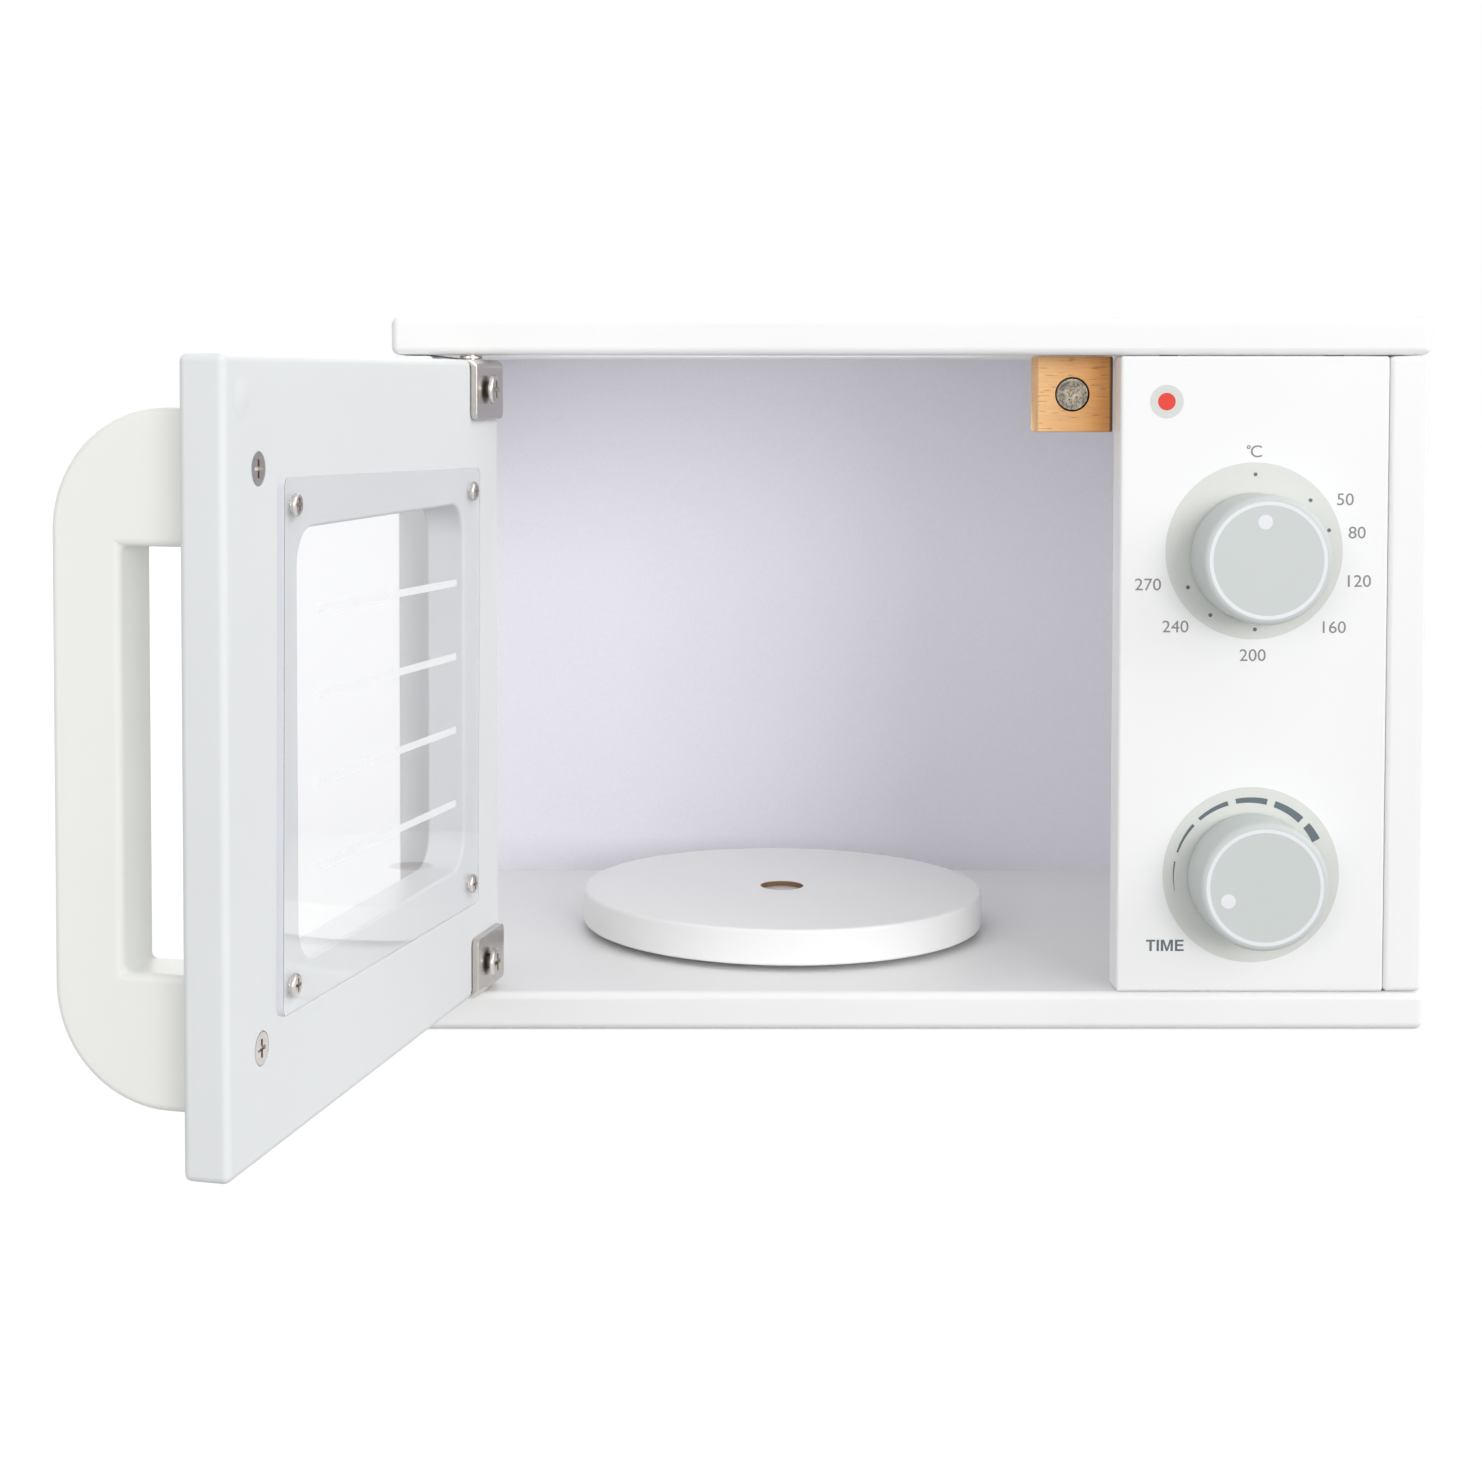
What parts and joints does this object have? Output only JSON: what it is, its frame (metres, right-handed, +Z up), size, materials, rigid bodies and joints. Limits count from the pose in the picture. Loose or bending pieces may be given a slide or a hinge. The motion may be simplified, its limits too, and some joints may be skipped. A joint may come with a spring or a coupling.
{
  "type": "toy microwave",
  "caption": "Toy microwave: a painted board box with a swinging windowed door and C-shaped handle, a turning turntable inside, and round knobs on its control panel.",
  "frame": {"origin": "middle of the underside of the bottom board, on the surface that the toy stands on", "axes": "+Z up; the front with the door and the knobs looks along -Y; +X is to the right as seen from the front"},
  "size_m": [0.3915, 0.3842, 0.2246],
  "materials": {
    "white_paint": "white satin paint on fibreboard",
    "grey_back_board": "thin fibreboard, raw grey face",
    "beech": "raw beech",
    "knob_grey_green": "pale grey-green satin paint on wood",
    "nickel": "nickel-plated steel",
    "magnet": "plated disc magnet",
    "clear_acrylic": "clear polished acrylic"
  },
  "bodies": {
    "cabinet": {"bottom_board": "white_paint", "top_board": "white_paint", "left_side_panel": "white_paint", "right_side_panel": "white_paint", "control_panel": "white_paint", "back_panel": "grey_back_board", "back_screw_left_low": "nickel", "back_screw_left_middle": "nickel", "back_screw_left_high": "nickel", "back_screw_right_low": "nickel", "back_screw_right_middle": "nickel", "back_screw_right_high": "nickel", "dowel_left_bottom_front": "beech", "dowel_left_bottom_rear": "beech", "dowel_left_top_front": "beech", "dowel_left_top_rear": "beech", "dowel_right_bottom_front": "beech", "dowel_right_bottom_rear": "beech", "dowel_right_top_front": "beech", "dowel_right_top_rear": "beech", "dowel_control_bottom_left": "beech", "dowel_control_bottom_right": "beech", "dowel_control_top_left": "beech", "dowel_control_top_right": "beech", "magnet_block": "beech", "door_magnet": "magnet", "turntable_spacer": "nickel", "turntable_bolt": "nickel", "temperature_knob_washer": "nickel", "time_knob_washer": "nickel"},
    "door": {"door_board": "white_paint", "window_plate": "clear_acrylic", "window_screw_upper_hinge_side": "nickel", "window_screw_upper_free_side": "nickel", "window_screw_lower_hinge_side": "nickel", "window_screw_lower_free_side": "nickel", "door_handle": "white_paint", "handle_screw_upper": "nickel", "handle_screw_lower": "nickel", "strike_screw": "white_paint", "pivot_bracket_upper": "nickel", "pivot_bracket_lower": "nickel", "bracket_screw_upper": "nickel", "bracket_screw_lower": "nickel", "pivot_pin_upper": "nickel", "pivot_pin_lower": "nickel", "pivot_washer_upper": "nickel", "pivot_washer_lower": "nickel"},
    "turntable": {"turntable_disc": "white_paint"},
    "temperature_knob": {"temperature_knob": "knob_grey_green", "temperature_knob_screw": "nickel"},
    "time_knob": {"time_knob": "knob_grey_green", "time_knob_screw": "nickel"}
  },
  "joints": [
    {"name": "door_hinge", "type": "hinge", "parent": "cabinet", "child": "door", "pos_m": [-0.1379, -0.0915, 0.1123], "axis": [0, 0, -1], "range_deg": [-104.5, 15.5]},
    {"name": "turntable_turn", "type": "hinge", "parent": "cabinet", "child": "turntable", "pos_m": [-0.0345, -0.0015, 0.026], "axis": [0, 0, 1], "continuous": true},
    {"name": "temperature_knob_turn", "type": "hinge", "parent": "cabinet", "child": "temperature_knob", "pos_m": [0.1072, -0.0975, 0.1497], "axis": [0, -1, 0], "continuous": true},
    {"name": "time_knob_turn", "type": "hinge", "parent": "cabinet", "child": "time_knob", "pos_m": [0.1072, -0.0975, 0.049], "axis": [0, -1, 0], "continuous": true}
  ]
}
